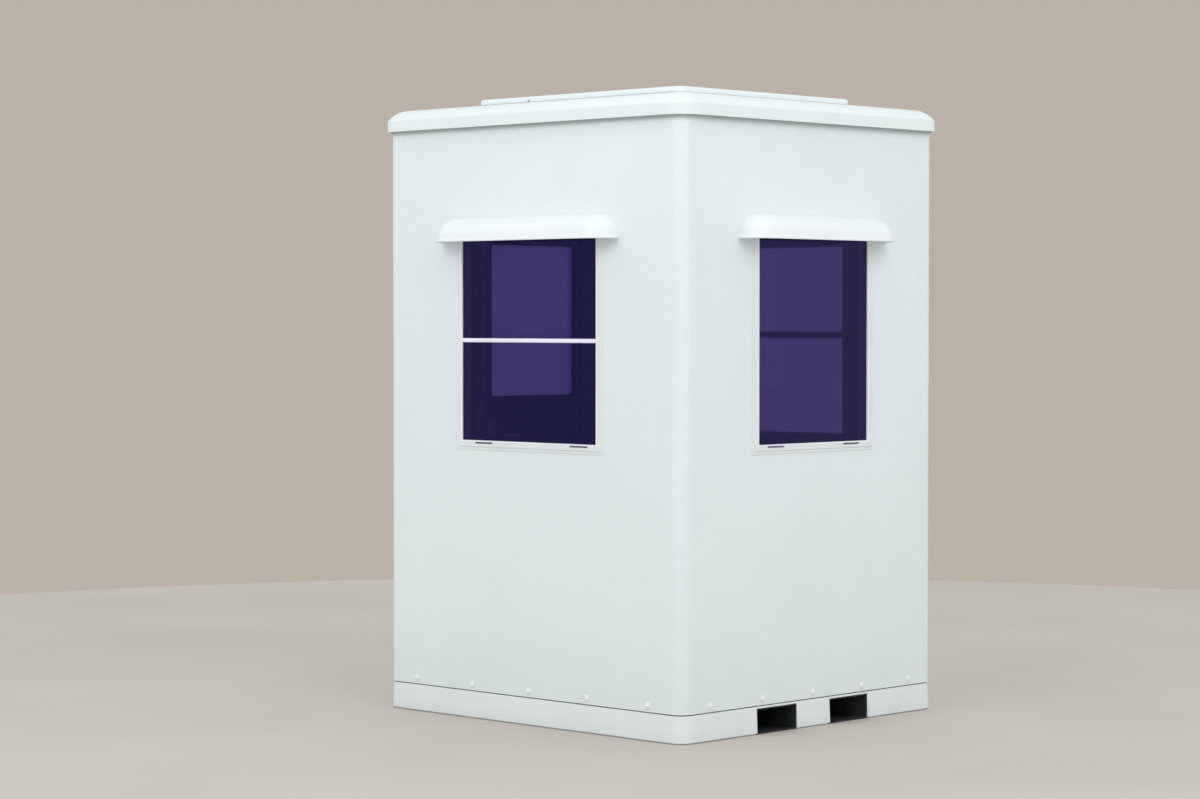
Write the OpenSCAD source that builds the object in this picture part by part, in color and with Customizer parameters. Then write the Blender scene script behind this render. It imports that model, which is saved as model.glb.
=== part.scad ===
// Security guard booth: a moulded cabin on a steel base with fork tunnels.
// Millimetres, +Z up. The origin is on the ground under the middle of the floor.
// The front is -Y, the right side +X, the back +Y, and the doorway is in the left side, -X.

/* [Body] */
// Width over the front wall panel and its corner posts
body_w = 1560; // [1300:10:2400]
// Depth over the side wall panels
body_d = 1450; // [1250:10:2400]
// Height of the roof lip's lower edge above the ground
lip_z = 2250; // [2150:10:2600]
// Thickness of the sandwich walls
wall_t = 45; // [40:1:80]
// Outside radius of the rounded corners
corner_r = 50; // [30:1:70]
// Width of each corner post's face, measured from the square corner
post_leg = 96; // [80:1:140]
// How far the corner posts stand out from the wall panels
post_proud = 1.5; // [0.5:0.5:3]

/* [Base] */
// Height of the steel base frame, on which the walls stand
base_h = 106; // [104:1:160]
// Thickness of the moulded skirt around the base
skirt_t = 8; // [5:1:15]
// How far the skirt's foot stands out from the walls
skirt_flare = 5; // [2:1:12]
// Height of the shadow gap between the skirt and the walls
seam_gap = 4; // [2:1:8]
// Width of the base rails
rail_w = 60; // [50:1:100]
// Width of each fork tunnel, outside
tunnel_w = 225; // [180:1:260]
// Height of each fork tunnel, outside
tunnel_h = 95; // [80:1:100]
// Wall of the fork tunnels
tunnel_t = 5; // [3:1:8]
// Distance between the two fork tunnels, middle to middle
tunnel_pitch = 415; // [360:5:560]
// Thickness of the floor board
floor_t = 22; // [16:1:40]

// Diameter of the domed bolt caps
cap_d = 20; // [14:1:30]
// How far the caps stand out from the walls
cap_proud = 5; // [3:1:8]
// Height of the row of caps above the base frame
cap_up = 22; // [16:1:60]
// Distance from the middle of a wall to its last cap, front and back
cap_reach_front = 614; // [400:1:640]
// Distance from the middle of a wall to its last cap, left and right
cap_reach_side = 573; // [430:1:590]

/* [Roof] */
// How far the roof lip stands out from the walls
lip_out = 28; // [26:1:60]
// Thickness of the roof moulding at the lip
lip_t = 6; // [4:1:10]
// Height of the lip's upright face
fascia_h = 40; // [25:1:60]
// Radius of the bend above the upright face
bend_r = 8; // [4:1:18]
// Slope at the top of that bend, in degrees
bend_slope = 50; // [40:1:52]
// Radius of the shoulder between the bend and the flat deck
shoulder_r = 112; // [80:1:114]
// Corner radius of the roof in plan, over the wall faces
roof_corner_r = 65; // [62:1:120]
// How far the walls run up behind the lip
wall_over = 40; // [30:1:50]
// Thickness of the ceiling panel
ceiling_t = 15; // [10:1:20]
// Distance from the front wall face in to the edge of the raised roof tray
tray_in_front = 250; // [150:5:400]
// The same at the back
tray_in_back = 210; // [150:5:400]
// The same at both sides
tray_in_side = 240; // [150:5:400]
// Thickness of the roof tray
tray_t = 26; // [15:1:60]
// Height of the kerb that carries the tray
kerb_h = 17; // [8:1:40]
// How far the tray overhangs its kerb
tray_over = 18; // [10:1:40]

/* [Windows] */
// Width of the glass that shows in the front and back windows
front_glass_w = 710; // [400:10:900]
// Width of the glass that shows in the right window
right_glass_w = 625; // [400:10:900]
// Height of the glass that shows
glass_h = 760; // [500:10:1000]
// Height of the lower edge of the glass above the ground
glass_z = 1062; // [900:1:1200]
// Thickness of the glass
glass_t = 6; // [4:1:10]
// Depth of the glass behind the wall face
glass_in = 2; // [1:1:6]
// How far the glass runs into its groove
glass_edge = 8; // [5:1:12]
// Height of the bar across the middle of the front window
front_bar_h = 16; // [12:1:40]
// Height of the bar across the back window
back_bar_h = 26; // [12:1:40]
// Height of that bar's middle above the middle of the glass
back_bar_up = 17; // [0:1:60]
// Width of the raised face of the window frame
sash_w = 24; // [22:1:40]
// How far that face stands out from the wall
sash_proud = 6; // [3:1:12]
// Width of the thin flange around it
flange_w = 12; // [8:1:20]
// Thickness of the flanges that lap the walls
flange_t = 2.5; // [1.5:0.5:4]
// Wall of the frame inside the wall cut-out
liner_w = 18; // [14:1:21]
// Length of each drain slot
slot_l = 92; // [40:1:120]
// From the middle of the front and back windows to the left drain slot, seen from outside
front_slot_left = 234; // [100:1:290]
// The same to the right drain slot
front_slot_right = 268; // [100:1:290]
// From the middle of the right window to its left drain slot
right_slot_left = 221; // [100:1:250]
// The same to its right drain slot
right_slot_right = 212; // [100:1:250]

/* [Hoods] */
// How far a hood's body stands out from the wall
hood_out = 91; // [60:1:160]
// Width of the thin flange around the foot of a hood
hood_flange = 9; // [4:1:15]
// Height of a hood
hood_h = 92; // [60:1:140]
// Height of the upright edge at the foot of a hood
hood_lip = 10; // [4:1:20]
// Thickness of a hood's shell
hood_t = 4; // [3:1:8]
// How far the straight part of a hood runs past the glass on each side
hood_past = 15; // [0:1:60]
// Distance from the top of the glass down to the foot of the hood
hood_drop = 7; // [0:1:20]

/* [Door] */
// Width of the cut-out in the left side
door_gap_w = 650; // [600:5:780]
// Height of the top of that cut-out
door_gap_top = 2040; // [1950:5:2080]
// Middle of the doorway, behind the middle of the left side
door_y = 42; // [-60:1:60]
// Thickness of the door frame beside the leaf
jamb_t = 25; // [20:1:40]
// Overlap of the frame's stop behind the leaf
stop_w = 20; // [15:1:30]
// Running gap around the leaf
leaf_gap = 5; // [5:0.5:8]
// Thickness of the leaf
leaf_t = 40; // [30:1:45]
// How far the leaf stands out from the wall face
leaf_proud = 8; // [5:1:15]
// Height of the threshold
sill_h = 18; // [12:1:30]
// Width of the pane that shows in the door
pane_w = 470; // [300:1:490]
// Lower edge of the pane that shows
pane_z = 1211; // [1000:1:1300]
// Distance from the leaf's inner face out to the pane
pane_back = 6; // [4:1:10]
// Width of the rubber around the pane
gasket_w = 8; // [6:1:24]
// Radius of the pane's corners
pane_r = 14; // [8:1:24]
// Radius of the hinge barrels
barrel_r = 7; // [6:0.5:8]
// Length of each half of a hinge barrel
barrel_l = 42; // [30:1:60]
// Radius of the hinge pins
pin_r = 4; // [3:0.5:4]
// Radial clearance of a hinge pin
pin_fit = 0.05; // [0.02:0.01:0.1]
// Height of the door handles
handle_z = 1050; // [900:5:1150]

/* [Hidden] */
$fn = 64;

white = [0.88, 0.91, 0.90];
frame_white = [0.90, 0.91, 0.94];
violet = [0.12, 0.09, 0.30, 0.6];
steel = [0.24, 0.25, 0.25];
rubber = [0.05, 0.05, 0.05];
grey_floor = [0.42, 0.43, 0.44];
bright = [0.72, 0.73, 0.74];

eps = 0.5;                                    // how far a cutter runs past a face
wall_top = lip_z + wall_over;                 // underside of the ceiling panel
ceiling_top = wall_top + ceiling_t;           // underside of the roof deck

// --- base ---------------------------------------------------------------
rail_in = skirt_t;                            // the rails stand against the skirt's inside
joist_y = tunnel_pitch / 2 + tunnel_w / 2 + rail_w / 2;

// --- roof ---------------------------------------------------------------
bend_turn = 90 - bend_slope;
bend_u = bend_r * (1 - cos(bend_turn));
bend_z = bend_r * sin(bend_turn);
shoulder_u = shoulder_r * sin(bend_slope);
shoulder_z = shoulder_r * (1 - cos(bend_slope));
deck_u = lip_out - bend_u - shoulder_u;       // where the deck turns flat, out from the wall face
deck_z = lip_z + fascia_h + bend_z + shoulder_z;
tray_z = round(deck_z + kerb_h);              // underside of the tray, to a whole millimetre
tray_w = body_w - 2 * tray_in_side;
tray_d = body_d - tray_in_front - tray_in_back;
tray_y = (tray_in_front - tray_in_back) / 2;  // middle of the tray
deck_lap = (roof_corner_r + deck_u) / 2;      // how far the shoulder's end runs in over the deck
tray_r = 40;
tray_round = 9;                               // round along the tray's top edge

// --- windows ------------------------------------------------------------
glass_top = glass_z + glass_h;
glass_mid = glass_z + glass_h / 2;
bar_proud = 4;                                // the bar's face, out from the wall face
bar_edge = 4;                                 // how far the glass runs into the bar
bar_back = 12;                                // back of the bar, in from the wall face
trim_w = 30;                                  // width of the inner trim
slot_h = 7;
slot_deep = 3;
slot_down = 12;                               // foot of the slot, below the glass
hood_z = glass_top - hood_drop;

// --- door ---------------------------------------------------------------
door_clear_w = door_gap_w - 2 * jamb_t;
leaf_w = door_clear_w - 2 * leaf_gap;
head_z = door_gap_top - jamb_t;
leaf_top = head_z - leaf_gap;
leaf_bottom = base_h + sill_h + leaf_gap + 1;
stop_y = leaf_t - leaf_proud + leaf_gap;      // face of the stop, in from the wall face
pane_h = glass_top - pane_z;                  // the pane's head lines up with the windows
gasket_proud = 3;
gasket_bed = 4;                               // rubber on the outer side of the pane
hinge_x = -(leaf_w + leaf_gap) / 2;           // over the running gap
hinge_y = -leaf_proud - leaf_gap - barrel_r;  // the barrel clears the leaf's face
hinge_zs = [leaf_bottom + 190, (leaf_bottom + leaf_top) / 2, leaf_top - 190];
door_hood_z = door_gap_top + flange_w + 14;
hinge_leaf = 32;                              // width of each hinge plate
hinge_plate_t = 3;
washer_t = 1;                                 // gap between the two halves of a barrel
handle_plate_w = 38;
handle_plate_h = 190;
handle_plate_t = 5;
handle_r = 9;
handle_l = 120;
handle_out = 42;
handle_x = leaf_w / 2 - 50;

// --- places -------------------------------------------------------------
// On each side, x runs to the right as seen from outside, y runs into the room, z up.
module on_front() { translate([0, -body_d / 2, 0]) children(); }
module on_right() { translate([body_w / 2, 0, 0]) rotate([0, 0, 90]) children(); }
module on_back() { translate([0, body_d / 2, 0]) rotate([0, 0, 180]) children(); }
module on_left() { translate([-body_w / 2, 0, 0]) rotate([0, 0, -90]) children(); }
module at_door() { on_left() translate([-door_y, 0, 0]) children(); }

// --- shapes -------------------------------------------------------------
// A box by its two corners
module span(low, high) { translate(low) cube(high - low); }

// A rectangle with round corners, about the origin
module round_rect(w, d, r) {
    square([w - 2 * r, d], center = true);
    square([w, d - 2 * r], center = true);
    for (sx = [-1, 1], sy = [-1, 1])
        translate([sx * (w / 2 - r), sy * (d / 2 - r)]) circle(r);
}

// A flat picture-frame ring that stands on a wall, from depth y0 to depth y1
module wall_ring(w, h, hole_w, hole_h, mid_z, y0, y1) {
    difference() {
        span([-w / 2, y0, mid_z - h / 2], [w / 2, y1, mid_z + h / 2]);
        span([-hole_w / 2, y0 - eps, mid_z - hole_h / 2], [hole_w / 2, y1 + eps, mid_z + hole_h / 2]);
    }
}

// Sweeps a profile around a rectangle with round corners.
// In the profile, x is the distance out from the rectangle's edge and y is the height.
module around(w, d, r) {
    for (a = [0, 180])
        rotate([0, 0, a]) {
            translate([0, -d / 2, 0])
                rotate([90, 0, 90]) translate([0, 0, -w / 2 + r])
                    linear_extrude(w - 2 * r) mirror([1, 0, 0]) children();
            translate([-w / 2, 0, 0])
                rotate([90, 0, 0]) translate([0, 0, -d / 2 + r])
                    linear_extrude(d - 2 * r) mirror([1, 0, 0]) children();
            for (s = [0, 1])
                mirror([s, 0, 0]) translate([w / 2 - r, d / 2 - r, 0])
                    rotate_extrude(angle = 90) translate([r, 0]) children();
        }
}

// --- base ---------------------------------------------------------------
module tunnel_cut() {
    for (s = [-1, 1])
        span([-body_w, s * tunnel_pitch / 2 - tunnel_w / 2, -eps],
             [body_w, s * tunnel_pitch / 2 + tunnel_w / 2, tunnel_h]);
}

module base_skirt() {
    top = base_h - seam_gap;
    color(white) difference() {
        around(body_w, body_d, corner_r)
            polygon([[-skirt_t, 0], [skirt_flare, 0], [0, top], [-skirt_t, top]]);
        tunnel_cut();
    }
}

// One long rail, along the skirt's straight stretch
module base_rail(side) {
    reach = body_w / 2 - corner_r;
    color(steel) scale([1, side, 1])
        span([-reach, -body_d / 2 + rail_in, 0],
             [reach, -body_d / 2 + rail_in + rail_w, base_h]);
}

// The cross rail along one side, in three lengths between the tunnels
module base_side_rail(side) {
    color(steel) difference() {
        scale([side, 1, 1])
            span([body_w / 2 - rail_in - rail_w, -body_d / 2 + rail_in + rail_w, 0],
                 [body_w / 2 - rail_in, body_d / 2 - rail_in - rail_w, base_h]);
        tunnel_cut();
    }
}

module base_joists() {
    reach = body_w / 2 - rail_in - rail_w;
    color(steel) for (y = [-joist_y, 0, joist_y])
        span([-reach, y - rail_w / 2, 0], [reach, y + rail_w / 2, base_h]);
}

// A steel tube right across the base, with both mouths just behind the skirt's face
module fork_tunnel(side) {
    reach = body_w / 2;
    color(steel) translate([0, side * tunnel_pitch / 2, 0]) difference() {
        span([-reach, -tunnel_w / 2, 0], [reach, tunnel_w / 2, tunnel_h]);
        span([-reach - eps, -tunnel_w / 2 + tunnel_t, tunnel_t],
             [reach + eps, tunnel_w / 2 - tunnel_t, tunnel_h - tunnel_t]);
    }
}

module floor_panel() {
    inner_w = body_w - 2 * wall_t;
    inner_d = body_d - 2 * wall_t;
    color(grey_floor)
        span([-inner_w / 2, -inner_d / 2, base_h], [inner_w / 2, inner_d / 2, base_h + floor_t]);
}

// --- walls --------------------------------------------------------------
module window_cut(glass_w) {
    span([-glass_w / 2 - liner_w, -eps, glass_z - liner_w],
         [glass_w / 2 + liner_w, wall_t + eps, glass_top + liner_w]);
}

module window_wall(length, glass_w) {
    color(white) difference() {
        span([-length / 2 + post_leg, 0, base_h], [length / 2 - post_leg, wall_t, wall_top]);
        window_cut(glass_w);
    }
}

// The left side, in three panels around the doorway. Each x is as seen from outside.
module left_wall_beside(x0, x1) {
    color(white) span([x0, 0, base_h], [x1, wall_t, wall_top]);
}

module left_wall_head() {
    color(white) span([-door_y - door_gap_w / 2, 0, door_gap_top],
                      [-door_y + door_gap_w / 2, wall_t, wall_top]);
}

// An L-shaped post with a round outside corner
module corner_post(sx, sy) {
    reach = post_leg + post_proud;
    r = corner_r + post_proud;
    color(white) translate([sx * (body_w / 2 - post_leg), sy * (body_d / 2 - post_leg), base_h])
        scale([sx, sy, 1]) linear_extrude(wall_top - base_h) difference() {
            union() {
                square([reach - r, reach]);
                square([reach, reach - r]);
                translate([reach - r, reach - r]) circle(r);
            }
            translate([-r, -r]) square([r + post_leg - wall_t, r + post_leg - wall_t]);
            translate([-2 * r, -2 * r]) square([2 * r, 4 * reach]);
            translate([-2 * r, -2 * r]) square([4 * reach, 2 * r]);
        }
}

// One row of domed caps over the bolts that hold the walls down
module cap_row(xs) {
    for (x = xs) translate([x, 0, base_h + cap_up]) rotate([90, 0, 0])
        cylinder(r1 = cap_d / 2, r2 = cap_d / 2 - cap_proud * 0.8, h = cap_proud);
}

module bolt_caps() {
    front_xs = [-cap_reach_front, -cap_reach_front / 2, 0, cap_reach_front / 2, cap_reach_front];
    side_xs = [-cap_reach_side, -cap_reach_side / 2, 0, cap_reach_side / 2, cap_reach_side];
    color(white) {
        on_front() cap_row(front_xs);
        on_back() cap_row(front_xs);
        on_right() cap_row(side_xs);
        on_left() cap_row([-cap_reach_side, cap_reach_side]);
    }
}

// --- roof ---------------------------------------------------------------
module ceiling_panel() {
    color(white) translate([0, 0, wall_top]) linear_extrude(ceiling_t)
        round_rect(body_w, body_d, roof_corner_r);
}

// Outer line of the roof moulding, from the lip's foot over the bend and the shoulder
function roof_line() = concat(
    [[lip_out, lip_z]],
    [for (a = [0 : bend_turn / 6 : bend_turn + 0.01])
        [lip_out - bend_r * (1 - cos(a)), lip_z + fascia_h + bend_r * sin(a)]],
    [for (a = [bend_slope - bend_slope / 10 : -bend_slope / 10 : -0.01])
        [deck_u + shoulder_r * sin(a), deck_z - shoulder_r * (1 - cos(a))]]
);

module roof_cap() {
    inner_u = lip_out - lip_t;
    plate_u = deck_u - deck_lap / 2;
    color(white) {
        around(body_w, body_d, roof_corner_r)
            polygon(concat(roof_line(), [
                [deck_u - deck_lap, deck_z], [deck_u - deck_lap, ceiling_top],
                [post_proud, ceiling_top],
                [inner_u, lip_z + fascia_h], [inner_u, lip_z]
            ]));
        translate([0, 0, ceiling_top]) linear_extrude(deck_z - ceiling_top)
            round_rect(body_w + 2 * plate_u, body_d + 2 * plate_u, roof_corner_r + plate_u);
        translate([0, tray_y, ceiling_top]) linear_extrude(tray_z - ceiling_top)
            round_rect(tray_w - 2 * tray_over, tray_d - 2 * tray_over, tray_r - tray_over);
    }
}

// The raised tray, with its top edge rounded
module roof_tray() {
    core = tray_r - 5;
    color(white) translate([0, tray_y, tray_z]) {
        around(tray_w, tray_d, tray_r)
            polygon(concat(
                [[-core, 0], [0, 0]],
                [for (a = [0 : 15 : 90])
                    [-tray_round * (1 - cos(a)), tray_t - tray_round * (1 - sin(a))]],
                [[-core, tray_t]]
            ));
        linear_extrude(tray_t)
            square([tray_w - 2 * tray_r + 10, tray_d - 2 * tray_r + 10], center = true);
    }
}

// --- windows ------------------------------------------------------------
// The low and high edge of the bar across a window, or nothing where one pane fills it
front_bar = [glass_mid - front_bar_h / 2, glass_mid + front_bar_h / 2];
back_bar = [glass_mid + back_bar_up - back_bar_h / 2, glass_mid + back_bar_up + back_bar_h / 2];
no_bar = [];
front_slots = [-front_slot_left, front_slot_right];
right_slots = [-right_slot_left, right_slot_right];

// The panes of one window: low and high edge of each, with what lies in the grooves
function pane_spans(bar) = len(bar) == 0
    ? [[glass_z - glass_edge, glass_top + glass_edge]]
    : [[glass_z - glass_edge, bar[0] + bar_edge], [bar[1] - bar_edge, glass_top + glass_edge]];

module pane(glass_w, heights) {
    span([-glass_w / 2 - glass_edge, glass_in, heights[0]],
         [glass_w / 2 + glass_edge, glass_in + glass_t, heights[1]]);
}

module window_pane(glass_w, heights) {
    color(violet) pane(glass_w, heights);
}

module window_frame(glass_w, bar, slots) {
    sash = 2 * sash_w;
    lap = 2 * (sash_w + flange_w);
    color(frame_white) difference() {
        union() {
            wall_ring(glass_w + sash, glass_h + sash, glass_w, glass_h, glass_mid, -sash_proud, 0);
            wall_ring(glass_w + lap, glass_h + lap, glass_w, glass_h, glass_mid, -flange_t, 0);
            wall_ring(glass_w + 2 * liner_w, glass_h + 2 * liner_w, glass_w, glass_h,
                      glass_mid, 0, wall_t);
            wall_ring(glass_w + 2 * trim_w, glass_h + 2 * trim_w, glass_w, glass_h,
                      glass_mid, wall_t, wall_t + flange_t);
            if (len(bar) > 0)
                span([-glass_w / 2 - eps, -bar_proud, bar[0]], [glass_w / 2 + eps, bar_back, bar[1]]);
        }
        for (heights = pane_spans(bar)) pane(glass_w, heights);
        for (x = slots) translate([x - slot_l / 2, -sash_proud - eps, glass_z - slot_down])
            cube([slot_l, slot_deep + eps, slot_h]);
    }
}

// The outline of a hood's shell, out from the wall: an upright edge and a quarter ellipse
function hood_line(out, lip, high) = concat(
    [[out, 0]],
    [for (a = [0 : 7.5 : 90]) [out * cos(a), lip + (high - lip) * sin(a)]]
);

module hood_profile() {
    difference() {
        union() {
            polygon(concat([[0, 0]], hood_line(hood_out, hood_lip, hood_h)));
            square([hood_out + hood_flange, hood_t]);
        }
        translate([-eps, -eps]) square([hood_out - hood_t + eps, hood_lip + eps]);
        polygon(concat([[-eps, 0], [-eps, hood_h - hood_t]], [for (i = [13 : -1 : 0])
            hood_line(hood_out - hood_t, hood_lip, hood_h - hood_t)[i]]));
    }
}

module hood(opening_w, foot_z) {
    half = opening_w / 2 + hood_past;
    color(white) translate([0, 0, foot_z]) {
        translate([-half, 0, 0]) rotate([90, 0, 90]) linear_extrude(2 * half)
            mirror([1, 0, 0]) hood_profile();
        translate([half, 0, 0]) rotate([0, 0, -90]) rotate_extrude(angle = 90) hood_profile();
        translate([-half, 0, 0]) rotate([0, 0, 180]) rotate_extrude(angle = 90) hood_profile();
    }
}

// --- door ---------------------------------------------------------------
// Two jambs and a head, cut to one width, from height foot up
module door_arch(w, top, hole_w, hole_top, y0, y1, foot = base_h) {
    difference() {
        span([-w / 2, y0, foot], [w / 2, y1, top]);
        span([-hole_w / 2, y0 - eps, foot - eps], [hole_w / 2, y1 + eps, hole_top]);
    }
}

module door_frame() {
    stop_clear = door_clear_w - 2 * stop_w;
    stop_top = head_z - stop_w;
    lap = 2 * (flange_w + 6);
    color(frame_white) {
        door_arch(door_gap_w + lap, door_gap_top + lap / 2, door_clear_w, head_z, -flange_t, 0);
        door_arch(door_gap_w, door_gap_top, door_clear_w, head_z, 0, stop_y);
        door_arch(door_gap_w, door_gap_top, stop_clear, stop_top, stop_y, wall_t);
        door_arch(door_gap_w + lap, door_gap_top + lap / 2, stop_clear, stop_top,
                  wall_t, wall_t + flange_t, base_h + floor_t);
    }
}

module door_sill() {
    stop_clear = door_clear_w - 2 * stop_w;
    color(bright) {
        span([-door_clear_w / 2, 0, base_h], [door_clear_w / 2, stop_y, base_h + sill_h]);
        span([-stop_clear / 2, stop_y, base_h], [stop_clear / 2, wall_t, leaf_bottom + stop_w / 2]);
    }
}

module pane_plan(grow, r) {
    translate([0, pane_z + pane_h / 2]) round_rect(pane_w + 2 * grow, pane_h + 2 * grow, r);
}

// Stands a drawing of the pane up in the leaf, from depth y0 to depth y1
module in_leaf(y0, y1) {
    translate([0, y1, 0]) rotate([90, 0, 0]) linear_extrude(y1 - y0) children();
}

leaf_back = leaf_t - leaf_proud;
pane_y = leaf_back - pane_back - glass_t;

module door_leaf() {
    color(white) difference() {
        span([-leaf_w / 2, -leaf_proud, leaf_bottom], [leaf_w / 2, leaf_back, leaf_top]);
        in_leaf(-leaf_proud - eps, leaf_back + eps) pane_plan(0, pane_r);
        in_leaf(pane_y - gasket_bed, leaf_back + eps) pane_plan(gasket_w / 2, pane_r + gasket_w / 2);
    }
}

module door_glass() {
    color(violet) in_leaf(pane_y, pane_y + glass_t) pane_plan(gasket_w / 4, pane_r + gasket_w / 4);
}

module door_gasket() {
    color(rubber) difference() {
        union() {
            in_leaf(pane_y - gasket_bed, leaf_back) pane_plan(gasket_w / 2, pane_r + gasket_w / 2);
            in_leaf(leaf_back, leaf_back + gasket_proud) pane_plan(gasket_w, pane_r + gasket_w);
        }
        in_leaf(-leaf_t, 2 * leaf_t) pane_plan(0, pane_r);
        door_glass();
    }
}

// A lever on a long plate, standing out from y = 0 towards -y, pointing to the hinges
module handle() {
    neck = handle_out - handle_plate_t;
    color(bright) {
        span([-handle_plate_w / 2, -handle_plate_t, -handle_plate_h * 0.68],
             [handle_plate_w / 2, 0, handle_plate_h * 0.32]);
        translate([0, -handle_out, 0]) rotate([-90, 0, 0]) cylinder(r = handle_r, h = neck);
        translate([-handle_l, -handle_out, 0]) rotate([0, 90, 0]) cylinder(r = handle_r, h = handle_l);
        translate([0, -handle_out, 0]) sphere(handle_r);
        translate([-handle_l, -handle_out, 0]) sphere(handle_r);
        translate([0, -handle_plate_t - 4, -handle_plate_h * 0.45]) rotate([-90, 0, 0])
            cylinder(r = 10, h = 4);
    }
}

module door_handle_outside() {
    translate([handle_x, -leaf_proud, handle_z]) handle();
}

module door_handle_inside() {
    translate([handle_x, leaf_back, handle_z]) mirror([0, 1, 0]) handle();
}

// The lower half of each hinge, on the frame, with its pin
module door_hinges_fixed() {
    color(bright) for (z = hinge_zs) translate([hinge_x, hinge_y, z - barrel_l]) {
        cylinder(r = barrel_r, h = barrel_l);
        cylinder(r = pin_r, h = 2 * barrel_l - 4);
        span([-barrel_r, 0, 0], [-barrel_r + hinge_plate_t, -hinge_y - flange_t, barrel_l]);
        span([-barrel_r - hinge_leaf, -hinge_y - flange_t - hinge_plate_t, 0],
             [-barrel_r + hinge_plate_t, -hinge_y - flange_t, barrel_l]);
    }
}

// The upper half of each hinge, on the leaf
module door_hinges_moving() {
    face = -hinge_y - leaf_proud;
    color(bright) for (z = hinge_zs) translate([hinge_x, hinge_y, z + washer_t]) difference() {
        union() {
            cylinder(r = barrel_r, h = barrel_l);
            span([0, 0, 0], [hinge_plate_t, face, barrel_l]);
            span([0, face - hinge_plate_t, 0], [barrel_r + hinge_leaf, face, barrel_l]);
        }
        translate([0, 0, -eps]) cylinder(r = pin_r + pin_fit, h = barrel_l + 2 * eps);
    }
}

// --- the parts ----------------------------------------------------------
left_half = body_d / 2 - post_leg;

base_skirt();
base_rail(1);  // base_rail_front
base_rail(-1);  // base_rail_back
base_side_rail(-1);  // base_rail_left
base_side_rail(1);  // base_rail_right
base_joists();
fork_tunnel(-1);  // fork_tunnel_front
fork_tunnel(1);  // fork_tunnel_back
floor_panel();
bolt_caps();
on_front() window_wall(body_w, front_glass_w);  // front_wall
on_back() window_wall(body_w, front_glass_w);  // back_wall
on_right() window_wall(body_d, right_glass_w);  // right_wall
on_left() left_wall_beside(-door_y + door_gap_w / 2, left_half);  // left_wall_front
on_left() left_wall_beside(-left_half, -door_y - door_gap_w / 2);  // left_wall_back
on_left() left_wall_head();
corner_post(-1, -1);  // corner_post_front_left
corner_post(1, -1);  // corner_post_front_right
corner_post(-1, 1);  // corner_post_back_left
corner_post(1, 1);  // corner_post_back_right
ceiling_panel();
roof_cap();
roof_tray();
on_front() window_frame(front_glass_w, front_bar, front_slots);  // front_window_frame
on_front() window_pane(front_glass_w, pane_spans(front_bar)[1]);  // front_window_glass_upper
on_front() window_pane(front_glass_w, pane_spans(front_bar)[0]);  // front_window_glass_lower
on_back() window_frame(front_glass_w, back_bar, front_slots);  // back_window_frame
on_back() window_pane(front_glass_w, pane_spans(back_bar)[1]);  // back_window_glass_upper
on_back() window_pane(front_glass_w, pane_spans(back_bar)[0]);  // back_window_glass_lower
on_right() window_frame(right_glass_w, no_bar, right_slots);  // right_window_frame
on_right() window_pane(right_glass_w, pane_spans(no_bar)[0]);  // right_window_glass
on_front() hood(front_glass_w, hood_z);  // front_window_hood
on_back() hood(front_glass_w, hood_z);  // back_window_hood
on_right() hood(right_glass_w, hood_z);  // right_window_hood
at_door() hood(door_clear_w, door_hood_z);  // door_hood
at_door() door_frame();
at_door() door_sill();
at_door() door_leaf();
at_door() door_glass();
at_door() door_gasket();
at_door() door_handle_outside();
at_door() door_handle_inside();
at_door() door_hinges_fixed();
at_door() door_hinges_moving();
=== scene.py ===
# Security guard booth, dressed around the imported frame. Metres, +Z up, front towards -Y.
import math

import bmesh
import bpy
from mathutils import Matrix, Vector


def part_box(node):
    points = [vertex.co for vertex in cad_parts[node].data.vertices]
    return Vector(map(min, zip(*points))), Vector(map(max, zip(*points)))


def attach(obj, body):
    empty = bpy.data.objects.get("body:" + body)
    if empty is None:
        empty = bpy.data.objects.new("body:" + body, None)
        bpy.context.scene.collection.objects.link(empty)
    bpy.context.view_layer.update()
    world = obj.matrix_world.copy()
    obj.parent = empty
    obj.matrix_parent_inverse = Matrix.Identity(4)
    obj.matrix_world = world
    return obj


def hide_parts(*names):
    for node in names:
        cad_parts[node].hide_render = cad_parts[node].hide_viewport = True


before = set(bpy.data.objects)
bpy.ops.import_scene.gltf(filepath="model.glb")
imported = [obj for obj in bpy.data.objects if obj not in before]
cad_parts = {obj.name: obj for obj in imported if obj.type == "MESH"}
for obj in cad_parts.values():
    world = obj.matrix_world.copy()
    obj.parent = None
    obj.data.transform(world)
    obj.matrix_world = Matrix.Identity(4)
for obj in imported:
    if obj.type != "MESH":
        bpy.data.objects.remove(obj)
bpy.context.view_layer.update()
print("frame loaded:", len(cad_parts), "nodes")

mm = 0.001


# measures taken from the frame
def nodeBox(node):
    low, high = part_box(node)
    return Vector(low), Vector(high)


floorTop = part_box("floor_panel")[1][2]
frontLow, frontHigh = nodeBox("front_wall")
halfDepth = -frontLow.y
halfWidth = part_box("right_wall")[1][0]
wallFoot, wallTop = frontLow.z, frontHigh.z
wallThick = frontHigh.y - frontLow.y
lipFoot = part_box("roof_cap")[0][2]
sideTurn = {"front": 0, "right": 90, "back": 180, "left": -90}
sideReach = {"front": halfDepth, "right": halfWidth, "back": halfDepth, "left": halfWidth}


def onSide(points, side, along=0.0):
    # a side's own axes: x to the right seen from outside, y into the room from the wall face, z up
    turn = Matrix.Rotation(math.radians(sideTurn[side]), 3, "Z")
    return [turn @ Vector((p[0] + along, p[1] - sideReach[side], p[2])) for p in points]


# mesh drafts: a pair of lists that shells are added to
def newDraft():
    return [], []


def addFaces(draft, points, faces):
    start = len(draft[0])
    draft[0].extend(Vector(p) for p in points)
    draft[1].extend([i + start for i in f] for f in faces)


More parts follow.
